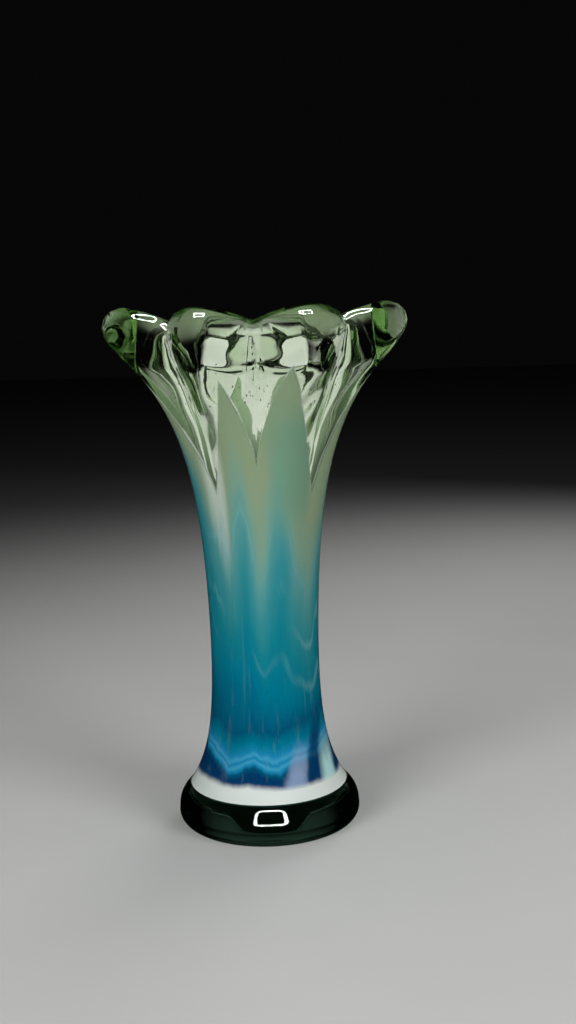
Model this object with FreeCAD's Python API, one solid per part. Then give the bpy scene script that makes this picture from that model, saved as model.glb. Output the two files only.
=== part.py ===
import FreeCAD, Part
import math
import os

# A hand blown cased glass vase with eight pulled lobes at the mouth.
# Millimetres, +Z up, origin on the axis at the table, a rib furrow facing -Y.

# ---- driving dimensions --------------------------------------------------
overall_height = 282.0
lobe_count = 8
lobe_reach = 83.5          # axis to the outermost point of a lobe
furrow_reach = 61.5        # axis to the outside of the rim between two lobes
core_radius = 27.5         # the straight tube that both flares grow from
foot_radius = 49.3
foot_height = 21.5         # thickness of the solid clear foot
clear_skin = 1.4           # thickness of the outer casing
colour_skin = 0.7          # thickness of the blue colour
opal_skin = 0.9            # thickness of the white opal
lining_skin = 2.8          # thickness of the green lining in the body

# ---- the body, as two flares on a tube -----------------------------------
ankle_flare = 15.6         # how far the body spreads where it meets the foot
ankle_fade = 22.0          # height over which that spread dies away
mouth_flare = 42.8         # how far the body spreads at the neck of the lobes
mouth_fade = 45.0
neck_height = overall_height - 26.0

# ---- the ribs that swell into the lobes ----------------------------------
lobe_pitch = 360.0 / lobe_count
first_furrow = -90.0
rib_depth = 13.6           # rib to furrow at the neck
rib_fade = 28.0
rib_outward = 0.25         # share of the rib depth that stands out of the mean wall
rib_fullness = 1.2         # 2 is a plain wave, 1 a sharp furrow between full ribs
hand_turn = 1.0            # degrees that the tool marks wander

# ---- the rolled rim: one bead, larger in a lobe than in a furrow ---------
lobe_bead = 10.0
furrow_bead = 6.0
lobe_rise = overall_height - lobe_bead
furrow_rise = lobe_rise - 8.0
crest_fullness = 0.42      # 1 is a peaked crest, less a flat one with a narrow dip beside it
hand_fullness = 0.18       # how unevenly the crests were rounded
hand_rise = 1.4            # how much the lobes at +X and -X stand above the rest
hand_sag = 5.0             # how much the lobes at +Y hang below the rest
hand_dip = 3.2             # how unevenly the rim dips between the lobes
hand_reach = 0.9           # how unevenly the lobes were pulled out

# ---- the wall, thicker at the base and under the lobes -------------------
wall = clear_skin + colour_skin + opal_skin + lining_skin
base_swell = 4.0
base_swell_fade = 15.0
neck_swell = 4.4
neck_swell_fade = 25.0
floor_height = foot_height + 7.0
floor_share = 0.62         # flat part of the cavity floor, as a share of its radius

# ---- where the layers end ------------------------------------------------
opal_floor = foot_height + 1.3
colour_bottom = foot_height + 6.0
cobalt_top = foot_height + 16.0
cobalt_wave = 3.5
petal_tip = neck_height - 5.5
petal_dip = neck_height - 61.0
hand_tip = 4.6             # how unevenly high the petals reach
hand_foot = 9.0            # how unevenly low the petals part
hand_lean = 6.8            # degrees that the petals lean to one side

# ---- the ground foot -----------------------------------------------------
foot_widest = 9.0
foot_contact = foot_radius - 5.3
pontil_radius = 15.0
pontil_depth = 1.2

# ---- fineness ------------------------------------------------------------
poles_per_lobe = 12
pole_count = lobe_count * poles_per_lobe
row_pitch = 8.0
bead_step = 30.0           # degrees between the rows of poles round the rim
bead_spread = 3.0 / (2.0 + math.cos(math.radians(bead_step)))
sew_tolerance = 0.001


def turns():
    """The angles, in degrees, of the poles of a ring."""
    return [360.0 * k / pole_count for k in range(pole_count)]


def lobe_weight(turn):
    """One on the middle of a lobe, nought in the furrow between two lobes."""
    wander = hand_turn * math.sin(math.radians(3.0 * turn))
    half = math.radians((turn - first_furrow + wander) * lobe_count / 2.0)
    return abs(math.sin(half)) ** rib_fullness


def petal_weight(turn):
    """A pointed arch over each lobe: one at its tip, nought at its foot."""
    lean = hand_lean * math.sin(math.radians(4.0 * (turn - first_furrow) + 30.0))
    place = (turn - first_furrow + lean) % lobe_pitch
    return 1.0 - abs(2.0 * place / lobe_pitch - 1.0)


def between(low, high, share):
    return low + (high - low) * share


def outer_radius(turn, height):
    """The outside of the glass, up to the neck of the lobes."""
    ankle = ankle_flare * math.exp(-(height - foot_height) / ankle_fade)
    mouth = mouth_flare * math.exp((height - neck_height) / mouth_fade)
    rib = rib_depth * math.exp((height - neck_height) / rib_fade)
    return core_radius + ankle + mouth + rib * (rib_outward - 1.0 + lobe_weight(turn))


def inner_radius(turn, height):
    """The wall of the cavity, up to the neck of the lobes."""
    base = base_swell * math.exp(-(height - floor_height) / base_swell_fade)
    neck = neck_swell * math.exp((height - neck_height) / neck_swell_fade)
    return outer_radius(turn, height) - wall - base - neck


def bead(turn):
    """Centre radius, centre height and thickness of the rolled rim."""
    share = lobe_weight(turn)
    size = between(furrow_bead, lobe_bead, share)
    side = math.radians(turn - first_furrow)
    dip = furrow_rise + hand_dip * (math.sin(side) + 0.75 * math.cos(2.0 * side))
    fullness = crest_fullness + hand_fullness * math.cos(2.0 * side)
    rise = between(dip, lobe_rise, share ** fullness)
    rise += hand_rise * share * (math.cos(math.radians(2.0 * turn)) - 1.0) / 2.0
    rise -= hand_sag * ((1.0 + math.sin(math.radians(turn))) / 2.0) ** 1.5
    reach = between(furrow_reach, lobe_reach, share)
    reach += hand_reach * share * math.sin(math.radians(2.0 * turn - 50.0))
    return reach - size, rise, size


def point(turn, radius, height):
    angle = math.radians(turn)
    return FreeCAD.Vector(radius * math.cos(angle), radius * math.sin(angle), height)


def ring(radius_at, height_at):
    """A closed ring of poles from a radius rule and a height rule."""
    return [point(t, radius_at(t, height_at(t)), height_at(t)) for t in turns()]


def level(height):
    return lambda turn: height


def under(depth):
    """The surface that lies a given depth below the outside of the glass."""
    return lambda turn, height: outer_radius(turn, height) - depth


def rings_between(radius_at, low_at, high_at):
    """Rings of poles from one edge rule up to another, evenly shared out."""
    longest = max(high_at(t) - low_at(t) for t in turns())
    count = max(4, int(math.ceil(longest / row_pitch)) + 1)
    rings = []
    for row in range(count):
        share = row / (count - 1.0)
        rings.append(ring(radius_at, lambda t: between(low_at(t), high_at(t), share)))
    return rings


def bead_ring(angle, reach=1.0):
    """Poles round the rolled rim: 0 degrees is outward, 90 the crest."""
    side = reach * math.cos(math.radians(angle))
    lift = reach * math.sin(math.radians(angle))
    poles = []
    for turn in turns():
        radius, height, size = bead(turn)
        poles.append(point(turn, radius + size * side, height + size * lift))
    return poles


def shoulder_ring(side):
    """Poles level with the crest, so that the rim rolls over it smoothly."""
    lean = side * math.tan(math.radians(bead_step / 2.0))
    reach = math.hypot(1.0, lean)
    return bead_ring(math.degrees(math.atan2(1.0, lean)), reach)


def sheet(rings):
    """A smooth skin, closed round the axis, over a stack of rings of poles."""
    degree = min(3, len(rings) - 1)
    spans = len(rings) - degree
    surface = Part.BSplineSurface()
    surface.buildFromPolesMultsKnots(
        [[ring_poles[k] for ring_poles in rings] for k in range(pole_count)],
        [1] * (pole_count + 1),
        [degree + 1] + [1] * (spans - 1) + [degree + 1],
        [float(k) for k in range(pole_count + 1)],
        [float(k) for k in range(spans + 1)],
        True,
        False,
        3,
        degree,
    )
    return surface.toShape()


def disc(poles):
    """The flat face inside a level ring of poles."""
    curve = Part.BSplineCurve()
    curve.buildFromPolesMultsKnots(
        poles,
        [1] * (pole_count + 1),
        [float(k) for k in range(pole_count + 1)],
        True,
        3,
    )
    return Part.Face(Part.Wire([curve.toShape()]))


def closed_solid(faces):
    shell = Part.makeCompound(faces)
    shell.sewShape(sew_tolerance)
    solid = Part.makeSolid(shell.Shells[0])
    if solid.Volume < 0.0:
        solid.reverse()
    return solid


# ---- edges of the layers, as height rules --------------------------------
at_foot = level(foot_height)
at_opal_floor = level(opal_floor)
at_colour_bottom = level(colour_bottom)
at_neck = level(neck_height)


def at_cobalt_top(turn):
    """The ragged top of the dark band, a slow wave with a shorter one on it."""
    slow = math.sin(math.radians(3.0 * turn + 240.0))
    short = 0.3 * math.sin(math.radians(7.0 * turn))
    return cobalt_top + cobalt_wave * (slow + short)


def at_petals(turn):
    """The pointed petals; no two of them are alike."""
    side = math.radians(turn - first_furrow)
    dip = petal_dip + hand_foot * math.cos(4.0 * side)
    tip = petal_tip + hand_tip * math.sin(3.0 * side)
    return between(dip, tip, petal_weight(turn))


# ---- surfaces that two neighbouring pieces share -------------------------
under_skin = under(clear_skin)
under_colour = under(clear_skin + colour_skin)
under_opal = under(clear_skin + colour_skin + opal_skin)


def skin_over_opal_edge():
    return sheet(rings_between(under_skin, at_foot, at_colour_bottom))


def skin_over_cobalt():
    return sheet(rings_between(under_skin, at_colour_bottom, at_cobalt_top))


def skin_over_turquoise():
    return sheet(rings_between(under_skin, at_cobalt_top, at_petals))


def cobalt_over_opal():
    return sheet(rings_between(under_colour, at_colour_bottom, at_cobalt_top))


def turquoise_over_opal():
    return sheet(rings_between(under_colour, at_cobalt_top, at_petals))


def opal_over_lining():
    return sheet(rings_between(under_opal, at_opal_floor, at_petals))


def step(outside, inside, edge_at):
    """The narrow face at the end of a layer."""
    return sheet([ring(outside, edge_at), ring(inside, edge_at)])


def skin_over_lining():
    """Above the petals the clear casing lies straight on the green lining."""
    def below_skin(turn, height):
        rise = (height - at_petals(turn)) / (neck_height - at_petals(turn))
        return outer_radius(turn, height) - clear_skin - colour_skin * (1.0 + rise)
    rings = rings_between(below_skin, at_petals, at_neck)
    rings.append(bead_ring(90.0, 0.0))
    rings.append(bead_ring(90.0, 0.5))
    rings.append(bead_ring(90.0))
    return sheet(rings)


# ---- the pieces ----------------------------------------------------------
def make_clear_foot():
    """Solid clear gather: rounded side, ground base, polished pontil hollow."""
    join_radius = outer_radius(0.0, foot_height)
    dome_top = FreeCAD.Vector(0.0, 0.0, pontil_depth)
    pontil_edge = FreeCAD.Vector(pontil_radius, 0.0, 0.0)
    pontil_mid = FreeCAD.Vector(pontil_radius / 2.0, 0.0, 0.75 * pontil_depth)
    contact_edge = FreeCAD.Vector(foot_contact, 0.0, 0.0)
    heel = FreeCAD.Vector(foot_radius - 1.5, 0.0, 2.4)
    widest = FreeCAD.Vector(foot_radius, 0.0, foot_widest)
    shoulder = FreeCAD.Vector(between(join_radius, foot_radius, 0.66), 0.0,
                              between(foot_widest, foot_height, 0.62))
    join = FreeCAD.Vector(join_radius, 0.0, foot_height)
    top = FreeCAD.Vector(0.0, 0.0, foot_height)
    outline = Part.Wire([
        Part.Arc(dome_top, pontil_mid, pontil_edge).toShape(),
        Part.makeLine(pontil_edge, contact_edge),
        Part.Arc(contact_edge, heel, widest).toShape(),
        Part.Arc(widest, shoulder, join).toShape(),
        Part.makeLine(join, top),
        Part.makeLine(top, dome_top),
    ])
    axis = FreeCAD.Vector(0.0, 0.0, 1.0)
    return Part.Face(outline).revolve(FreeCAD.Vector(0.0, 0.0, 0.0), axis, 360.0)


def make_clear_casing():
    """Outer clear skin, from the foot up over the outside of the lobes."""
    rings = rings_between(under(0.0), at_foot, at_neck)
    rings += [bead_ring(k * bead_step, bead_spread) for k in (-1.5, -0.5, 0.5, 1.5)]
    rings.append(shoulder_ring(1.0))
    rings.append(bead_ring(90.0))
    return closed_solid([
        sheet(rings),
        step(under(0.0), under_skin, at_foot),
        skin_over_opal_edge(),
        skin_over_cobalt(),
        skin_over_turquoise(),
        step(under_skin, under_colour, at_petals),
        skin_over_lining(),
    ])


def make_cobalt_band():
    """Dark blue band low on the body, with a wavy upper edge."""
    return closed_solid([
        skin_over_cobalt(),
        cobalt_over_opal(),
        step(under_skin, under_colour, at_colour_bottom),
        step(under_skin, under_colour, at_cobalt_top),
    ])


def make_turquoise_layer():
    """Blue colour from the dark band up to the petals."""
    return closed_solid([
        skin_over_turquoise(),
        turquoise_over_opal(),
        step(under_skin, under_colour, at_cobalt_top),
        step(under_skin, under_colour, at_petals),
    ])


def make_white_opal_layer():
    """White opal cup whose upper edge is drawn into pointed petals."""
    return closed_solid([
        disc(ring(under_skin, at_foot)),
        skin_over_opal_edge(),
        step(under_skin, under_colour, at_colour_bottom),
        cobalt_over_opal(),
        turquoise_over_opal(),
        step(under_colour, under_opal, at_petals),
        opal_over_lining(),
        disc(ring(under_opal, at_opal_floor)),
    ])


def make_green_lining():
    """Innermost green bubble: it holds the water and fills the lobes."""
    corner = ring(inner_radius, level(floor_height))
    flat = [point(t, inner_radius(t, floor_height) * floor_share, floor_height)
            for t in turns()]
    wall_rings = rings_between(inner_radius, level(floor_height + row_pitch), at_neck)
    rim_rings = [bead_ring(180.0), bead_ring(180.0 - bead_step, bead_spread)]
    rim_rings += [shoulder_ring(-1.0), bead_ring(90.0)]
    return closed_solid([
        disc(ring(under_opal, at_opal_floor)),
        opal_over_lining(),
        step(under_colour, under_opal, at_petals),
        skin_over_lining(),
        sheet([flat, corner] + wall_rings + rim_rings),
        disc(flat),
    ])


pieces = {
    "clear_foot": make_clear_foot,
    "clear_casing": make_clear_casing,
    "cobalt_band": make_cobalt_band,
    "turquoise_layer": make_turquoise_layer,
    "white_opal_layer": make_white_opal_layer,
    "green_lining": make_green_lining,
}

os.makedirs("parts", exist_ok=True)
for name, make in pieces.items():
    solid = make()
    box = solid.BoundBox
    print(name, solid.ShapeType, solid.isValid(), round(solid.Volume), "mm3,",
          [round(v, 2) for v in (box.XMin, box.XMax, box.YMin, box.YMax, box.ZMin, box.ZMax)])
    solid.exportStep("parts/" + name + ".step")
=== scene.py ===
import math

import bpy
import numpy as np
from mathutils import Matrix, Vector


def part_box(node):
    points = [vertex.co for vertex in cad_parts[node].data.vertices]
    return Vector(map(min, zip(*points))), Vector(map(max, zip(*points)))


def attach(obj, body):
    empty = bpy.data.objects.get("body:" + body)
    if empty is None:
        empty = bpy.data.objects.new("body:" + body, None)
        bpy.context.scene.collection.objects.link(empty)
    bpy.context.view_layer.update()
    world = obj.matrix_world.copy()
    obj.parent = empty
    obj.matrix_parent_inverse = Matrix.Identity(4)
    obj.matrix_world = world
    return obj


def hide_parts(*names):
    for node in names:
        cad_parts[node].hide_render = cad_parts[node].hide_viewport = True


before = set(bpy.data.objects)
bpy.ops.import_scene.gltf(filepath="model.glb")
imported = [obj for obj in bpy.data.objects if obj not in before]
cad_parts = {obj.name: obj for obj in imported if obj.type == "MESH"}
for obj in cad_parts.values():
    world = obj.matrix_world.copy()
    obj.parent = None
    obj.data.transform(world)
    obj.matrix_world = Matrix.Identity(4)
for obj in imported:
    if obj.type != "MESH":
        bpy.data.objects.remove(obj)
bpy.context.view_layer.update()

# A cased glass vase with eight lobes. Metres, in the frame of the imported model.

# ---- sizes, from the frame -----------------------------------------------
foot_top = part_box("clear_foot")[1]
colour_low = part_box("cobalt_band")[0]
lining_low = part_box("green_lining")[0]

mm = 0.001
overall_height = 282.0 * mm
foot_height = foot_top[2]
foot_radius = foot_top[0]
opal_floor = lining_low[2]
colour_bottom = colour_low[2]
cobalt_top = foot_height + 16.0 * mm
cobalt_wave = 3.5 * mm
neck_height = overall_height - 26.0 * mm
petal_tip = neck_height - 5.5 * mm
petal_dip = neck_height - 61.0 * mm
petal_start = 0.02         # shares of a petal's height that its rounded edge runs between
petal_share = 0.95
hand_tip = 4.6 * mm        # the hand values say how far hand work strays from a perfect form
hand_foot = 9.0 * mm
hand_lean = math.radians(6.8)
floor_height = foot_height + 7.0 * mm

lobe_count = 8
first_furrow = -math.pi / 2.0
core_radius = 27.5 * mm
ankle_flare = 15.6 * mm
ankle_fade = 22.0 * mm
mouth_flare = 42.8 * mm
mouth_fade = 45.0 * mm
rib_depth = 13.6 * mm
rib_fade = 28.0 * mm
rib_outward = 0.25
rib_fullness = 1.2
hand_turn = math.radians(1.0)

lobe_reach = 83.4 * mm
furrow_reach = 61.5 * mm
lobe_bead = 10.0 * mm
furrow_bead = 6.0 * mm
crest_trim = 0.01 * mm     # keeps the crest inside the box of the solids
lobe_rise = overall_height - lobe_bead - crest_trim
furrow_rise = lobe_rise - 8.0 * mm
crest_fullness = 0.42
hand_fullness = 0.18
hand_rise = 1.4 * mm
hand_dip = 3.2 * mm
hand_second_dip = 0.75
hand_sag = 5.0 * mm
hand_sag_power = 1.5
hand_reach = 0.9 * mm
hand_reach_turn = math.radians(50.0)

clear_skin = 1.4 * mm
colour_skin = 0.7 * mm
opal_skin = 0.9 * mm
lining_skin = 2.8 * mm
wall = clear_skin + colour_skin + opal_skin + lining_skin
base_swell = 4.0 * mm
base_swell_fade = 15.0 * mm
neck_swell = 4.4 * mm
neck_swell_fade = 25.0 * mm
lobe_swell = 5.0 * mm      # how far the thick glass of a lobe reaches below the neck
tool_mark = 0.7 * mm       # how uneven the tooled skin of the cavity is near the lobes
gap = 0.03 * mm            # keeps neighbouring layers from sharing a surface

foot_widest = 9.0 * mm
foot_contact = foot_radius - 5.3 * mm
pontil_radius = 15.0 * mm
pontil_depth = 1.2 * mm

pole_pitch = math.radians(3.75)
pole_rise = 2.5 * mm
bead_step = 30.0           # degrees between the rings of poles that hold the rolled rim
bead_push = 3.0 / (2.0 + math.cos(math.radians(bead_step)))
crest_push = math.hypot(1.0, math.tan(math.radians(bead_step / 2.0)))
columns = lobe_count * 40
row_step = 2.3 * mm
turns = np.arange(columns) * 2.0 * math.pi / columns
flat_ring = np.zeros(columns)


# ---- the shape of the glass ----------------------------------------------
def sharp_weight(turn):
    wander = hand_turn * np.sin(3.0 * turn)
    half = (turn - first_furrow + wander) * lobe_count / 2.0
    return np.abs(np.sin(half)) ** rib_fullness


def lobe_weight(turn):
    """One on the middle of a lobe, nought in the softened furrow between two lobes."""
    beside = sharp_weight(turn - pole_pitch) + sharp_weight(turn + pole_pitch)
    return (beside + 4.0 * sharp_weight(turn)) / 6.0


def petal_weight(turn):
    """A pointed arch over each lobe: one at its tip, nought at its foot."""
    pitch = 2.0 * math.pi / lobe_count
    lean = hand_lean * np.sin(4.0 * (turn - first_furrow) + math.radians(30.0))
    place = (turn - first_furrow + lean) % pitch
    return 1.0 - np.abs(2.0 * place / pitch - 1.0)


def between(low, high, share):
    return low + (high - low) * share


def outer_radius(turn, height):
    """The outside of the glass, up to the neck of the lobes."""
    ankle = ankle_flare * np.exp(-(height - foot_height) / ankle_fade)
    mouth = mouth_flare * np.exp((height - neck_height) / mouth_fade)
    rib = rib_depth * np.exp((height - neck_height) / rib_fade)
    return core_radius + ankle + mouth + rib * (rib_outward - 1.0 + lobe_weight(turn))


def inner_radius(turn, height):
    """The wall of the cavity, up to the neck of the lobes."""
    base = base_swell * np.exp(-(height - floor_height) / base_swell_fade)
    neck = neck_swell * np.exp((height - neck_height) / neck_swell_fade)
    return outer_radius(turn, height) - wall - base - neck


def bead(turn):
    """Centre radius, centre height and thickness of the rolled rim."""
    share = lobe_weight(turn)
    size = between(furrow_bead, lobe_bead, share)
    side = turn - first_furrow
    dip = furrow_rise + hand_dip * (np.sin(side) + hand_second_dip * np.cos(2.0 * side))
    fullness = crest_fullness + hand_fullness * np.cos(2.0 * side)
    rise = between(dip, lobe_rise, share ** fullness)
    rise = rise + hand_rise * share * (np.cos(2.0 * turn) - 1.0) / 2.0
    rise = rise - hand_sag * ((1.0 + np.sin(turn)) / 2.0) ** hand_sag_power
    reach = between(furrow_reach, lobe_reach, share)
    reach = reach + hand_reach * share * np.sin(2.0 * turn - hand_reach_turn)
    return reach - size, rise, size


def bead_ring(angle, reach=1.0):
    """A ring on the rolled rim: 0 degrees is outward, 90 the crest."""
    radius, height, size = bead(turns)
    side = reach * math.cos(math.radians(angle))
    lift = reach * math.sin(math.radians(angle))
    return radius + size * side, height + size * lift


def rings_between(depth, low, high, radius_at=outer_radius):
    """Rings at a depth below a surface, from one height rule up to another."""
    low = low + flat_ring
    high = high + flat_ring
    count = max(4, int(math.ceil(float(np.max(high - low)) / pole_rise)) + 1)
    rings = []
    for share in np.linspace(0.0, 1.0, count):
        height = between(low, high, share)
        rings.append((radius_at(turns, height) - depth, height))
    return rings


def spline_weights(count, steps, degree=3):
    """How much each ring of poles weighs at each step of a clamped spline."""
    spans = count - degree
    knots = np.concatenate([np.zeros(degree), np.arange(spans + 1.0), np.full(degree, spans)])
    place = np.linspace(0.0, spans, steps)
    place[-1] -= 1e-7
    weight = ((knots[:-1, None] <= place) & (place < knots[1:, None])).astype(float)
    for order in range(1, degree + 1):
        rise = knots[order:-1] - knots[:-order - 1]
        fall = knots[order + 1:] - knots[1:-order]
        up = (place - knots[:-order - 1, None]) / np.where(rise > 0, rise, 1.0)[:, None]
        down = (knots[order + 1:, None] - place) / np.where(fall > 0, fall, 1.0)[:, None]
        up = up * (rise > 0)[:, None]
        down = down * (fall > 0)[:, None]
        weight = up * weight[:-1] + down * weight[1:]
    return weight


def smooth(rings):
    """A dense stack of rings on the smooth skin over a few rings of poles."""
    radii = np.array([ring[0] for ring in rings])
    heights = np.array([ring[1] for ring in rings])
    length = np.hypot(np.diff(radii, axis=0), np.diff(heights, axis=0)).sum(axis=0).max()
    steps = max(6, int(length / row_step))
    weight = spline_weights(len(rings), steps)
    return list(zip(weight.T @ radii, weight.T @ heights))


def tool_marks(rings):
    """The same rings, uneven near the lobes as a tooled skin is."""
    minor = 0.7
    marked = []
    for radius, height in rings:
        share = np.clip((height - petal_dip) / (neck_height - petal_dip), 0.0, 1.0)
        swell = np.sin(11.0 * turns + height / (5.5 * mm)) * np.cos(5.0 * turns - height / (7.0 * mm))
        swell = swell + minor * np.sin(19.0 * turns - height / (4.5 * mm) + 1.0)
        marked.append((radius + tool_mark * share * swell / (1.0 + minor), height))
    return marked


petal_foot = petal_dip + hand_foot * np.cos(4.0 * (turns - first_furrow))
petal_peak = petal_tip + hand_tip * np.sin(3.0 * (turns - first_furrow))
petals = between(petal_foot, petal_peak, petal_start + petal_share * petal_weight(turns))
cobalt_edge = cobalt_top + cobalt_wave * (
    np.sin(3.0 * turns + math.radians(240.0)) + 0.3 * np.sin(7.0 * turns))
under_skin = clear_skin
under_colour = clear_skin + colour_skin
under_opal = clear_skin + colour_skin + opal_skin


def outside_rings():
    """The outside of the glass, from the foot up to the crest of the rim."""
    rings = rings_between(0.0, foot_height, neck_height)
    rings += [bead_ring(k * bead_step, bead_push) for k in (-1.5, -0.5, 0.5, 1.5)]
    rings.append(bead_ring(90.0 - bead_step / 2.0, crest_push))
    rings.append(bead_ring(90.0))
    return smooth(rings)


def cavity_rings():
    """The wall of the cavity, from its floor up to the crest of the rim."""
    floor_corner = 8.0 * mm
    floor_share = 0.62
    side = turns - first_furrow
    swelling = np.abs(np.sin(lobe_count * side)) + 0.3 * np.sin(3.0 * side + 1.0)
    corner = inner_radius(turns, floor_height)
    level = floor_height + flat_ring
    rings = [(corner * floor_share, level), (corner, level)]
    rings += rings_between(0.0, floor_height + floor_corner, neck_height - lobe_swell * swelling,
                           inner_radius)
    rings += [bead_ring(180.0), bead_ring(180.0 - bead_step, bead_push)]
    crest = [bead_ring(90.0 + bead_step / 2.0, crest_push), bead_ring(90.0)]
    return smooth(tool_marks(rings) + crest)


def contact_rings(extra):
    """Where casing and lining meet, from the petals up to the crest."""
    def radius_at(turn, height):
        rise = (height - petals) / (neck_height - petals)
        return outer_radius(turn, height) - clear_skin - colour_skin * (1.0 + rise)
    rings = rings_between(extra, petals, neck_height, radius_at)
    rings.append(bead_ring(90.0, 0.0))
    rings.append(bead_ring(90.0, 0.5))
    rings.append(bead_ring(90.0))
    return smooth(rings)


# ---- meshes ---------------------------------------------------------------
def stack_mesh(name, rings, looped=False, contact=(), seeds=()):
    """Closed mesh over a stack of rings. contact lists ranges of rows that touch a neighbour."""
    stacked = [np.stack([radius * np.cos(turns), radius * np.sin(turns), height], axis=1)
               for radius, height in rings]
    count = len(rings)
    side = np.arange(columns)
    beside = (side + 1) % columns
    faces = []
    rows = []
    for row in range(count if looped else count - 1):
        low = row * columns
        high = ((row + 1) % count) * columns
        faces += np.stack([low + side, low + beside, high + beside, high + side], axis=1).tolist()
        rows += [row] * columns
    if not looped:
        bottom = count * columns
        top = (count - 1) * columns
        stacked.append(np.array([[0, 0, rings[0][1][0]], [0, 0, rings[-1][1][0]]]))
        faces += [[bottom, int(b), int(a)] for a, b in zip(side, beside)]
        rows += [-1] * columns
        faces += [[bottom + 1, int(top + a), int(top + b)] for a, b in zip(side, beside)]
        rows += [count] * columns
    total = sum(len(part) for part in stacked)
    for place, size in seeds:
        points, bubble = seed_bubble(place, size)
        stacked.append(points)
        faces += [[total + k for k in face] for face in bubble]
        rows += [count + 1] * len(bubble)
        total += len(points)
    mesh = bpy.data.meshes.new(name)
    mesh.from_pydata(np.concatenate(stacked).tolist(), [], faces)
    rows = np.array(rows)
    touching = np.zeros(len(rows), bool)
    for first, last in contact:
        touching |= (rows >= first) & (rows < last)
    ior = mesh.attributes.new("skin_ior", "FLOAT", "FACE")
    ior.data.foreach_set("value", np.where(touching, 1.0, 1.5).astype(np.float32))
    mesh.shade_smooth()
    mesh.set_sharp_from_angle(angle=math.radians(40.0))
    return mesh


def seed_bubble(place, size, around=8, stacked=5):
    """A small bubble drawn out upward; its faces look inward, because air is inside."""
    points = [(place[0], place[1], place[2] - 1.5 * size)]
    for row in range(1, stacked):
        tilt = math.pi * row / stacked
        for k in range(around):
            turn = 2.0 * math.pi * k / around
            points.append((place[0] + size * math.sin(tilt) * math.cos(turn),
                           place[1] + size * math.sin(tilt) * math.sin(turn),
                           place[2] - 1.5 * size * math.cos(tilt)))
    points.append((place[0], place[1], place[2] + 1.5 * size))
    last = len(points) - 1
    faces = []
    for k in range(around):
        beside = (k + 1) % around
        faces.append([0, 1 + k, 1 + beside])
        for row in range(stacked - 2):
            low = 1 + row * around
            faces.append([low + k, low + around + k, low + around + beside, low + beside])
        top = 1 + (stacked - 2) * around
        faces.append([top + k, last, top + beside])
    return np.array(points), faces


def add_piece(name, mesh, node, material):
    piece = bpy.data.objects.new(name, mesh)
    bpy.context.scene.collection.objects.link(piece)
    mesh.materials.append(material)
    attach(piece, "root")
    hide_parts(node)
    return piece


# ---- node helpers ---------------------------------------------------------
def new_material(name):
    material = bpy.data.materials.new(name)
    material.use_nodes = True
    material.node_tree.nodes.clear()
    return material, material.node_tree


def node(tree, kind, operation="", **values):
    """Makes a node and sets or links its inputs, which are named, or numbered as at0, at1."""
    made = tree.nodes.new("ShaderNode" + kind)
    if operation:
        made.operation = operation
    for name, value in values.items():
        key = int(name[2:]) if name.startswith("at") and name[2:].isdigit() else name.replace("_", " ")
        if isinstance(value, bpy.types.NodeSocket):
            tree.links.new(value, made.inputs[key])
        else:
            made.inputs[key].default_value = value
    return made


def maths(tree, operation, first, second=0.0, third=0.0):
    made = node(tree, "Math", operation, at0=first, at1=second, at2=third)
    return made.outputs[0]


def blend(tree, share, first, second):
    """Mixes two colours; share 0 gives the first."""
    made = tree.nodes.new("ShaderNodeMix")
    made.data_type = "RGBA"
    for socket, value in ((made.inputs[0], share), (made.inputs[6], first), (made.inputs[7], second)):
        if isinstance(value, bpy.types.NodeSocket):
            tree.links.new(value, socket)
        elif hasattr(value, "__len__"):
            socket.default_value = (*value, 1.0)
        else:
            socket.default_value = value
    return made.outputs[2]


def smooth_step(tree, value, low, high):
    made = tree.nodes.new("ShaderNodeMapRange")
    made.interpolation_type = "SMOOTHSTEP"
    tree.links.new(value, made.inputs["Value"])
    made.inputs["From Min"].default_value = low
    made.inputs["From Max"].default_value = high
    return made.outputs[0]


def place_of(tree):
    """Object coordinates, height, and the turn round the axis."""
    where = tree.nodes.new("ShaderNodeTexCoord").outputs["Object"]
    parts = node(tree, "SeparateXYZ", at0=where)
    turn = maths(tree, "ARCTAN2", parts.outputs[1], parts.outputs[0])
    return where, parts.outputs[2], turn


def noise(tree, where, stretch, scale, detail=3.0, rough=0.5, twist=0.0):
    """Noise that is stretched along the axis of the vase."""
    mapped = tree.nodes.new("ShaderNodeMapping")
    tree.links.new(where, mapped.inputs["Vector"])
    mapped.inputs["Scale"].default_value = (1.0, 1.0, stretch)
    made = node(tree, "TexNoise", Vector=mapped.outputs[0], Scale=scale, Detail=detail,
                Roughness=rough, Distortion=twist)
    return made.outputs[0]


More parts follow.
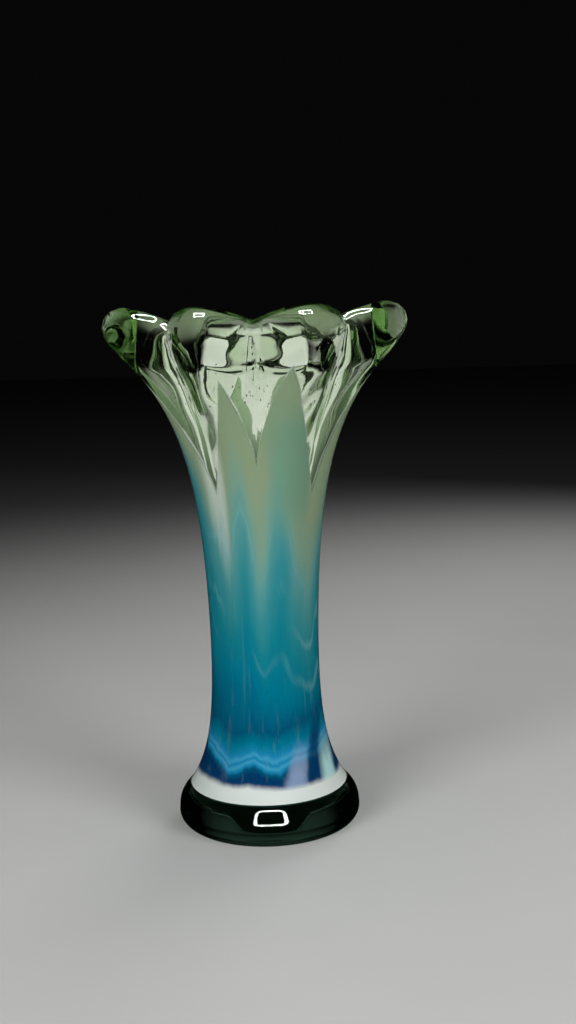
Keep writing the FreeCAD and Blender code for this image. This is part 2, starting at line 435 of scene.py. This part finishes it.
# ---- clear and green glass ------------------------------------------------
def glass_material(name, depth_colour=None, density=0.0):
    """Glass whose contact faces bend nothing; lamps reach what it encases."""
    material, tree = new_material(name)
    where, height, _ = place_of(tree)
    lobes = smooth_step(tree, height, petal_dip, neck_height)
    cords = noise(tree, where, 0.10, 240.0, 2.0, 0.5, 0.2)
    swell = noise(tree, where, 0.5, 45.0, 2.0, 0.5, 0.5)
    reeded = maths(tree, "MULTIPLY", cords, maths(tree, "MULTIPLY", lobes, 0.10))
    wavy = maths(tree, "ADD", maths(tree, "MULTIPLY", swell, 0.5), reeded)
    bump = node(tree, "Bump", Height=wavy, Strength=0.35, Distance=1.0 * mm)
    ior = tree.nodes.new("ShaderNodeAttribute")
    ior.attribute_name = "skin_ior"
    glass = node(tree, "BsdfPrincipled", Base_Color=(1.0, 1.0, 1.0, 1.0), Roughness=0.0,
                 Normal=bump.outputs[0], IOR=ior.outputs["Fac"])
    glass.inputs["Transmission Weight"].default_value = 1.0
    clear = node(tree, "BsdfTransparent", Color=(1.0, 1.0, 1.0, 1.0))
    path = tree.nodes.new("ShaderNodeLightPath")
    inner = node(tree, "MixShader", at0=path.outputs["Is Diffuse Ray"],
                 at1=glass.outputs[0], at2=clear.outputs[0])
    outer = node(tree, "MixShader", at0=path.outputs["Is Shadow Ray"],
                 at1=inner.outputs[0], at2=clear.outputs[0])
    out = node(tree, "OutputMaterial", Surface=outer.outputs[0])
    if depth_colour:
        soak = node(tree, "VolumeAbsorption", Color=(*depth_colour, 1.0), Density=density)
        tree.links.new(soak.outputs[0], out.inputs["Volume"])
    return material


# ---- opal and colour ------------------------------------------------------
tan = (0.27, 0.36, 0.22)
sage = (0.21, 0.37, 0.28)
mist = (0.11, 0.34, 0.33)
sea = (0.040, 0.28, 0.31)
teal = (0.008, 0.23, 0.29)
azure = (0.0, 0.19, 0.29)
deep = (0.001, 0.095, 0.19)
sky = (0.010, 0.24, 0.45)
pale_sky = (0.05, 0.36, 0.58)
navy = (0.002, 0.045, 0.14)
lavender = (0.30, 0.41, 0.60)
surf = (0.16, 0.42, 0.45)
fern = (0.16, 0.33, 0.23)
cream = (0.78, 0.84, 0.80)
aqua = (0.50, 0.80, 0.78)


def colour_ramp(tree, value, stops):
    ramp = tree.nodes.new("ShaderNodeValToRGB")
    tree.links.new(value, ramp.inputs[0])
    band = ramp.color_ramp
    while len(band.elements) < len(stops):
        band.elements.new(0.5)
    for element, (at, colour) in zip(band.elements, stops):
        element.position = at
        element.color = (*colour, 1.0)
    return ramp.outputs[0]


def plus(tree, *terms):
    total = terms[0]
    for term in terms[1:]:
        total = maths(tree, "ADD", total, term)
    return total


def times(tree, *terms):
    total = terms[0]
    for term in terms[1:]:
        total = maths(tree, "MULTIPLY", total, term)
    return total


def spread(tree, value, reach):
    """Noise from nought to one, turned into a shift of plus or minus reach."""
    return maths(tree, "MULTIPLY_ADD", value, 2.0 * reach, -reach)


def wave(tree, side, count, phase):
    """A sine that runs round the vase a whole number of times."""
    return maths(tree, "SINE", maths(tree, "MULTIPLY_ADD", side, float(count), math.radians(phase)))


def patch(tree, side, centre, half_width):
    """One at a place on the front and the same place on the back, fading out beside it."""
    away = maths(tree, "MULTIPLY_ADD", side, 2.0, math.radians(-2.0 * centre))
    cosine = maths(tree, "COSINE", away)
    return smooth_step(tree, cosine, math.cos(math.radians(2.0 * half_width)), 1.0)


def petal_places(tree, side):
    """The petal wave, and the height of its edge, as on the solids."""
    pitch = 2.0 * math.pi / lobe_count
    lean = times(tree, wave(tree, side, 4, 30.0), hand_lean)
    place = plus(tree, side, lean)
    weight = times(tree, maths(tree, "PINGPONG", place, pitch / 2.0), 2.0 / pitch)
    foot = maths(tree, "MULTIPLY_ADD", wave(tree, side, 4, 90.0), hand_foot, petal_dip)
    peak = maths(tree, "MULTIPLY_ADD", wave(tree, side, 3, 0.0), hand_tip, petal_tip)
    rise = maths(tree, "SUBTRACT", peak, foot)
    edge = maths(tree, "MULTIPLY_ADD", weight, rise, foot)
    return weight, edge


def body_blue(tree, where, height, side, rib, slow):
    """Colour drawn down under the furrows, from dark blue up to tan, with a few pale folds in it."""
    pull = times(tree, smooth_step(tree, height, 50.0 * mm, 150.0 * mm), -36.0 * mm)
    lean = times(tree, maths(tree, "SINE", side), 12.0 * mm)
    level = plus(tree, height, times(tree, rib, pull), lean, spread(tree, slow, 20.0 * mm))
    colour = colour_ramp(tree, maths(tree, "DIVIDE", level, overall_height), (
        (0.20, deep), (0.28, azure), (0.36, teal), (0.44, sea), (0.52, mist),
        (0.59, sage), (0.67, tan), (1.0, tan)))
    broken = smooth_step(tree, noise(tree, where, 0.5, 22.0, 2.0), 0.38, 0.56)
    for fold in (92.0 * mm, 115.0 * mm, 151.0 * mm):
        line = smooth_step(tree, maths(tree, "ABSOLUTE", plus(tree, level, -fold)), 4.0 * mm, 0.0)
        colour = blend(tree, times(tree, line, broken, 0.6), colour, surf)
    return colour, level


def ankle_trail(tree, height, side, slow, drawn):
    """Navy with a wavy double line of pale blue above it."""
    trail = maths(tree, "MULTIPLY_ADD", wave(tree, side, 2, -40.0), 5.5 * mm, 44.5 * mm)
    above = plus(tree, height, times(tree, trail, -1.0), spread(tree, slow, 12.0 * mm),
                 spread(tree, drawn, 6.0 * mm))
    return colour_ramp(tree, maths(tree, "MULTIPLY_ADD", above, 1.0 / (60.0 * mm), 0.4), (
        (0.0, navy), (0.28, navy), (0.32, deep), (0.35, sky), (0.38, pale_sky), (0.41, sky),
        (0.44, pale_sky), (0.48, sky), (0.56, azure), (0.68, deep), (1.0, azure)))


def upper_patches(tree, colour, height, side, loose, level, ridge, drawn):
    """A green leaf on one petal, a darker flank, and a pale wedge under one furrow."""
    leaf = times(tree, smooth_step(tree, height, 155.0 * mm, 185.0 * mm),
                 smooth_step(tree, height, 240.0 * mm, 215.0 * mm))
    colour = blend(tree, times(tree, leaf, patch(tree, loose, 27.0, 24.0), 0.75), colour, fern)
    flank = times(tree, patch(tree, loose, -70.0, 20.0),
                  smooth_step(tree, level, 200.0 * mm, 170.0 * mm), 0.75)
    flank = times(tree, flank, smooth_step(tree, height, 60.0 * mm, 120.0 * mm))
    colour = blend(tree, flank, colour, teal)
    taper = times(tree, smooth_step(tree, height, 115.0 * mm, 200.0 * mm), 0.5)
    calm = plus(tree, ridge, spread(tree, drawn, 0.3), -0.4)
    wedge = smooth_step(tree, maths(tree, "SUBTRACT", taper, calm), 0.35, 0.75)
    return blend(tree, times(tree, wedge, patch(tree, side, -40.0, 16.0), 0.5), colour, cream)


def ankle_patches(tree, colour, height, loose, slow, drawn):
    """Lavender, navy and aqua patches that slant up the ankle, and the white fringe below."""
    slant = math.radians(10.0) / (15.0 * mm)
    slanted = plus(tree, loose, maths(tree, "MULTIPLY_ADD", height, -slant, 33.0 * mm * slant))
    low = smooth_step(tree, plus(tree, height, spread(tree, drawn, 9.0 * mm)), 54.0 * mm, 34.0 * mm)
    tall = smooth_step(tree, plus(tree, height, spread(tree, drawn, 8.0 * mm)), 72.0 * mm, 50.0 * mm)
    colour = blend(tree, times(tree, patch(tree, slanted, 28.0, 13.0), low, 0.85), colour, lavender)
    colour = blend(tree, times(tree, patch(tree, slanted, 46.0, 11.0), tall, 0.9), colour, navy)
    colour = blend(tree, times(tree, patch(tree, slanted, 66.0, 16.0), low), colour, aqua)
    fringe = plus(tree, height, spread(tree, slow, 3.0 * mm), spread(tree, drawn, 1.5 * mm))
    return blend(tree, smooth_step(tree, fringe, 31.0 * mm, 27.0 * mm), colour, cream)


def body_colour(tree):
    """The colour of the body and the ankle, shared by the turquoise and the cobalt."""
    where, height, turn = place_of(tree)
    side = maths(tree, "ADD", turn, -first_furrow)
    weight, edge = petal_places(tree, side)
    slow = noise(tree, where, 0.25, 28.0, 3.0)
    drawn = noise(tree, where, 0.07, 70.0, 4.0, 0.6, 0.2)
    hair = noise(tree, where, 0.03, 330.0, 3.0, 0.6)
    loose = plus(tree, side, spread(tree, slow, 0.25), spread(tree, drawn, 0.12))
    ridge = smooth_step(tree, weight, 0.0, 1.0)
    rib = plus(tree, ridge, spread(tree, drawn, 0.8), -0.4)

    upper, level = body_blue(tree, where, height, side, rib, slow)
    lower = ankle_trail(tree, height, side, slow, drawn)
    colour = blend(tree, smooth_step(tree, height, 56.0 * mm, 84.0 * mm), lower, upper)
    colour = upper_patches(tree, colour, height, side, loose, level, ridge, drawn)
    colour = ankle_patches(tree, colour, height, loose, slow, drawn)
    threads = times(tree, smooth_step(tree, hair, 0.55, 0.75), 0.18)
    return blend(tree, threads, colour, sage), edge, height, drawn


def milky(tree, colour, glow, cover):
    """Dense coloured glass: some light comes through it, and it thins out at its edge."""
    front = node(tree, "BsdfDiffuse", Color=colour)
    back = node(tree, "BsdfTranslucent", Color=colour)
    body = node(tree, "MixShader", at0=glow, at1=front.outputs[0], at2=back.outputs[0])
    clear = node(tree, "BsdfTransparent")
    body = node(tree, "MixShader", at0=cover, at1=clear.outputs[0], at2=body.outputs[0])
    node(tree, "OutputMaterial", Surface=body.outputs[0])


def thin_edge(tree, edge, height, drawn, reach):
    """Cover that fades away over some way below the edge of the petals."""
    below = plus(tree, maths(tree, "SUBTRACT", edge, height), spread(tree, drawn, 3.0 * mm))
    return smooth_step(tree, below, 0.0, reach)


def opal_material():
    material, tree = new_material("white opal glass")
    where, height, turn = place_of(tree)
    side = maths(tree, "ADD", turn, -first_furrow)
    edge = petal_places(tree, side)[1]
    drawn = noise(tree, where, 0.08, 90.0, 3.0)
    cloud = noise(tree, where, 0.3, 40.0)
    colour = blend(tree, cloud, (0.74, 0.82, 0.78), (0.88, 0.91, 0.88))
    milky(tree, colour, 0.35, thin_edge(tree, edge, height, drawn, 4.0 * mm))
    return material


def coloured_material(name):
    material, tree = new_material(name)
    colour, edge, height, drawn = body_colour(tree)
    milky(tree, colour, 0.3, thin_edge(tree, edge, height, drawn, 5.0 * mm))
    return material


# ---- the pieces -----------------------------------------------------------
def lobe_seeds():
    """Small bubbles caught in the green glass of the lobes."""
    dice = np.random.default_rng(7)
    seeds = []
    for k in range(320):
        turn = dice.uniform(0.0, 2.0 * math.pi)
        height = dice.uniform(petal_dip + 35.0 * mm, neck_height)
        low = inner_radius(turn, height) + 1.6 * mm
        high = outer_radius(turn, height) - under_opal - 0.8 * mm
        radius = between(low, high, dice.uniform(0.0, 1.0))
        size = dice.uniform(0.12, 0.42) * mm
        seeds.append(((radius * math.cos(turn), radius * math.sin(turn), height), size))
    return seeds


def foot_seeds():
    """A few bubbles low in the foot."""
    dice = np.random.default_rng(11)
    seeds = []
    for k in range(70):
        turn = dice.uniform(0.0, 2.0 * math.pi)
        radius = foot_radius * dice.uniform(0.55, 0.92)
        height = dice.uniform(3.0, 11.0) * mm
        size = dice.uniform(0.10, 0.25) * mm
        seeds.append(((radius * math.cos(turn), radius * math.sin(turn), height), size))
    return seeds


def make_casing():
    outside = outside_rings()
    contact = smooth(rings_between(under_skin, foot_height, petals)) + contact_rings(0.0)[1:]
    rings = outside + contact[::-1][1:]
    mesh = stack_mesh("clear_casing_glass", rings, True, [(len(outside) - 1, len(rings) + 1)])
    return add_piece("clear_casing_glass", mesh, "clear_casing",
                     glass_material("clear casing glass"))


def make_lining():
    contact = smooth(rings_between(under_opal + gap, opal_floor + gap, petals)) + contact_rings(gap)
    cavity = cavity_rings()
    rings = contact[:-1] + cavity[::-1]
    first = len(contact) - 1
    mesh = stack_mesh("green_lining_glass", rings, False, [(-1, first)], lobe_seeds())
    add_piece("green_lining_glass", mesh, "green_lining",
              glass_material("green glass", (0.63, 0.765, 0.52), 105.0))


def make_opal():
    outside = smooth(rings_between(under_skin + gap, foot_height + gap, colour_bottom))
    outside += smooth(rings_between(under_colour, colour_bottom + gap, petals - gap))
    inside = smooth(rings_between(under_opal, opal_floor, petals - gap))
    mesh = stack_mesh("white_opal_cup", outside + inside[::-1])
    add_piece("white_opal_cup", mesh, "white_opal_layer", opal_material())


def make_turquoise():
    outside = smooth(rings_between(under_skin + gap, cobalt_edge, petals - gap))
    inside = smooth(rings_between(under_colour - gap, cobalt_edge, petals - gap))
    mesh = stack_mesh("turquoise_colour", outside + inside[::-1], True)
    add_piece("turquoise_colour", mesh, "turquoise_layer",
              coloured_material("turquoise glass"))


def make_cobalt():
    low = colour_bottom - gap
    high = cobalt_edge + gap
    outside = smooth(rings_between(under_skin + gap, low, high))
    inside = smooth(rings_between(under_colour - gap, low, high))
    mesh = stack_mesh("cobalt_colour", outside + inside[::-1], True)
    add_piece("cobalt_colour", mesh, "cobalt_band",
              coloured_material("cobalt glass"))


def arc(first, middle, last, steps):
    """Points on the circle through three points, as radius and height."""
    (ax, ay), (bx, by), (cx, cy) = first, middle, last
    d = 2.0 * (ax * (by - cy) + bx * (cy - ay) + cx * (ay - by))
    ux = ((ax**2 + ay**2) * (by - cy) + (bx**2 + by**2) * (cy - ay) + (cx**2 + cy**2) * (ay - by)) / d
    uy = ((ax**2 + ay**2) * (cx - bx) + (bx**2 + by**2) * (ax - cx) + (cx**2 + cy**2) * (bx - ax)) / d
    size = math.hypot(ax - ux, ay - uy)
    start = math.atan2(ay - uy, ax - ux)
    turn = math.atan2(cy - uy, cx - ux) - start
    turn = (turn + math.pi) % (2.0 * math.pi) - math.pi
    return [(ux + size * math.cos(start + turn * k / steps),
             uy + size * math.sin(start + turn * k / steps)) for k in range(steps + 1)]


def make_foot():
    join = float(outer_radius(0.0, foot_height))
    heel = (foot_radius - 1.8 * mm, 2.4 * mm)
    widest = (foot_radius - 0.23 * mm, foot_widest)
    shoulder = (between(join, foot_radius, 0.66), between(foot_widest, foot_height, 0.62))
    outline = arc((0.3 * mm, pontil_depth), (pontil_radius / 2.0, 0.75 * pontil_depth),
                  (pontil_radius, 0.0), 12)
    outline += [(between(pontil_radius, foot_contact, k / 12.0), 0.0) for k in range(1, 12)]
    outline += arc((foot_contact, 0.0), heel, widest, 14)
    outline += arc(widest, shoulder, (join, foot_height - gap), 18)[1:]
    first = len(outline) - 1
    outline += [(between(join, 0.3 * mm, k / 16.0), foot_height - gap) for k in range(1, 17)]
    rings = [(r + flat_ring, z + flat_ring) for r, z in outline]
    mesh = stack_mesh("clear_foot_glass", rings, False, [(first, len(outline) + 1)], foot_seeds())
    return add_piece("clear_foot_glass", mesh, "clear_foot",
                     glass_material("clear foot glass", (0.50, 0.60, 0.55), 85.0))


# ---- floor, lights, camera ------------------------------------------------
def flat_sheet(name, points, faces, material):
    """A flat mesh that is not part of the vase."""
    mesh = bpy.data.meshes.new(name)
    mesh.from_pydata(points, [], faces)
    mesh.materials.append(material)
    sheet = bpy.data.objects.new(name, mesh)
    bpy.context.scene.collection.objects.link(sheet)
    return sheet


def make_floor():
    """A pale table top with a painted pool of light: its colour is painted darker away from the vase,
    in place of light falling off; it is not mirrored in the glass.
    """
    half_width = 4.0
    material, tree = new_material("floor with painted pool of light")
    where = place_of(tree)[0]
    grain = noise(tree, where, 1.0, 9.0, 4.0)
    away = node(tree, "VectorMath", "LENGTH", at0=where).outputs["Value"]
    pale = blend(tree, grain, (0.62, 0.62, 0.61), (0.67, 0.67, 0.66))
    # painted pool of light: the floor colour fades from pale near the vase to near black further away
    colour = blend(tree, smooth_step(tree, away, 0.15, 1.3), pale, (0.10, 0.10, 0.10))
    surface = node(tree, "BsdfPrincipled", Base_Color=colour, Roughness=0.8)
    surface.inputs["Specular IOR Level"].default_value = 0.2
    node(tree, "OutputMaterial", Surface=surface.outputs[0])
    corners = [(-half_width, -half_width, 0.0), (half_width, -half_width, 0.0),
               (half_width, half_width, 0.0), (-half_width, half_width, 0.0)]
    floor = flat_sheet("floor", corners, [(0, 1, 2, 3)], material)
    floor.location.z = -0.02 * mm
    floor.visible_glossy = False


def soft_light(name, place, aim, size, power):
    """A soft lamp that lights the vase but is not seen in the glass."""
    lamp = bpy.data.lights.new(name, "AREA")
    lamp.energy = power
    lamp.size = size
    light = bpy.data.objects.new(name, lamp)
    bpy.context.scene.collection.objects.link(light)
    light.location = place
    light.rotation_euler = (Vector(place) - Vector(aim)).to_track_quat("Z", "Y").to_euler()
    light.visible_camera = False
    light.visible_glossy = False
    light.visible_transmission = False


def make_back_glow():
    """A glowing cloth behind the vase that shows only through the glass."""
    width = 0.80
    tall = 0.70
    material, tree = new_material("glowing cloth")
    where = place_of(tree)[0]
    oval = node(tree, "VectorMath", "MULTIPLY", at0=where, at1=(2.0 / width, 0.0, 2.0 / tall))
    away = node(tree, "VectorMath", "LENGTH", at0=oval.outputs[0]).outputs["Value"]
    fade = smooth_step(tree, away, 1.0, 0.45)
    folds = plus(tree, spread(tree, noise(tree, where, 0.3, 7.0, 2.0), 0.3), 0.85)
    glow = node(tree, "Emission", Strength=times(tree, fade, folds))
    node(tree, "OutputMaterial", Surface=glow.outputs[0])
    corners = [(-width / 2.0, 0.0, -tall / 2.0), (width / 2.0, 0.0, -tall / 2.0),
               (width / 2.0, 0.0, tall / 2.0), (-width / 2.0, 0.0, tall / 2.0)]
    cloth = flat_sheet("back_glow", corners, [(0, 1, 2, 3)], material)
    cloth.location = (0.0, 0.55, 0.30)
    cloth.visible_camera = False
    cloth.visible_glossy = False
    cloth.visible_diffuse = False
    cloth.visible_shadow = False


def rounded_outline(half_width, half_height, corner, steps=8):
    """Points round a rectangle with rounded corners."""
    points = []
    for quarter in range(4):
        across = (half_width - corner) * (1.0 if quarter in (0, 3) else -1.0)
        up = (half_height - corner) * (1.0 if quarter in (0, 1) else -1.0)
        for k in range(steps + 1):
            turn = math.pi / 2.0 * (quarter + k / steps)
            points.append((across + corner * math.cos(turn), up + corner * math.sin(turn)))
    return points


def make_ring_lamp(name, place, half_width, half_height, tube, strength, seen_in, tilt=0.0, taper=0.0):
    """A rounded ring of light that is mirrored only in one piece; it gives the ring highlights."""
    corner = 0.45 * half_width
    points = []
    for side in (-1.0, 1.0):
        outline = rounded_outline(half_width + side * tube, half_height + side * 2.0 * tube,
                                  corner + side * tube)
        points += [(x * (1.0 + taper * y / half_height), y, 0.0) for x, y in outline]
    count = len(points) // 2
    faces = [(k, count + k, count + (k + 1) % count, (k + 1) % count) for k in range(count)]
    material, tree = new_material(name)
    glow = node(tree, "Emission", Strength=strength)
    node(tree, "OutputMaterial", Surface=glow.outputs[0])
    ring = flat_sheet(name, points, faces, material)
    ring.location = place
    ring.rotation_euler.x = math.radians(tilt)
    ring.visible_camera = False
    ring.visible_transmission = False
    ring.visible_shadow = False
    receivers = bpy.data.collections.new(name + "_receivers")
    receivers.objects.link(seen_in)
    ring.light_linking.receiver_collection = receivers


def make_camera():
    distance = 0.75
    eye = Vector((0.0, -distance, 0.29))
    yaw = math.radians(1.11)
    pitch = math.radians(9.1)
    roll = math.radians(1.6)
    ahead = Vector((math.sin(yaw) * math.cos(pitch), math.cos(yaw) * math.cos(pitch), -math.sin(pitch)))
    right = Vector((math.cos(yaw), -math.sin(yaw), 0.0))
    above = right.cross(ahead)
    leaned_right = right * math.cos(roll) - above * math.sin(roll)
    leaned_above = above * math.cos(roll) + right * math.sin(roll)
    data = bpy.data.cameras.new("camera")
    data.lens = 49.9
    data.sensor_width = 36.0
    data.clip_start = 0.01
    camera = bpy.data.objects.new("camera", data)
    bpy.context.scene.collection.objects.link(camera)
    placed = Matrix((leaned_right, leaned_above, -ahead)).transposed().to_4x4()
    placed.translation = eye
    camera.matrix_world = placed
    bpy.context.scene.camera = camera


def make_world():
    world = bpy.data.worlds.new("studio")
    bpy.context.scene.world = world
    world.use_nodes = True
    world.node_tree.nodes["Background"].inputs[0].default_value = (0.0020, 0.0020, 0.0022, 1.0)


def set_scene():
    scene = bpy.context.scene
    scene.view_settings.view_transform = "Standard"
    scene.cycles.max_bounces = 24
    scene.cycles.transmission_bounces = 20
    scene.cycles.transparent_max_bounces = 24
    scene.cycles.glossy_bounces = 8
    scene.cycles.diffuse_bounces = 4
    scene.cycles.caustics_reflective = False
    scene.cycles.caustics_refractive = False


foot = make_foot()
casing = make_casing()
make_cobalt()
make_turquoise()
make_opal()
make_lining()
make_floor()
make_camera()
middle = (0.0, 0.0, overall_height / 2.0)
soft_light("overhead softbox", (0.0, 0.0, 1.3), middle, 0.7, 1.5)
soft_light("left front softbox", (-0.7, -0.9, 0.45), middle, 0.6, 11.5)
soft_light("right front softbox", (0.8, -0.8, 0.42), middle, 0.6, 9.5)
soft_light("rear softbox", (0.5, 0.9, 0.6), middle, 0.6, 4.0)
make_back_glow()
make_ring_lamp("overhead_ring", (0.0, -0.14, 0.95), 0.15, 0.14, 0.011, 80.0, casing)
make_ring_lamp("front_ring", (0.0, -0.385, 0.27), 0.142, 0.24, 0.019, 26.0, foot,
               tilt=50.5, taper=-0.28)
make_world()
set_scene()
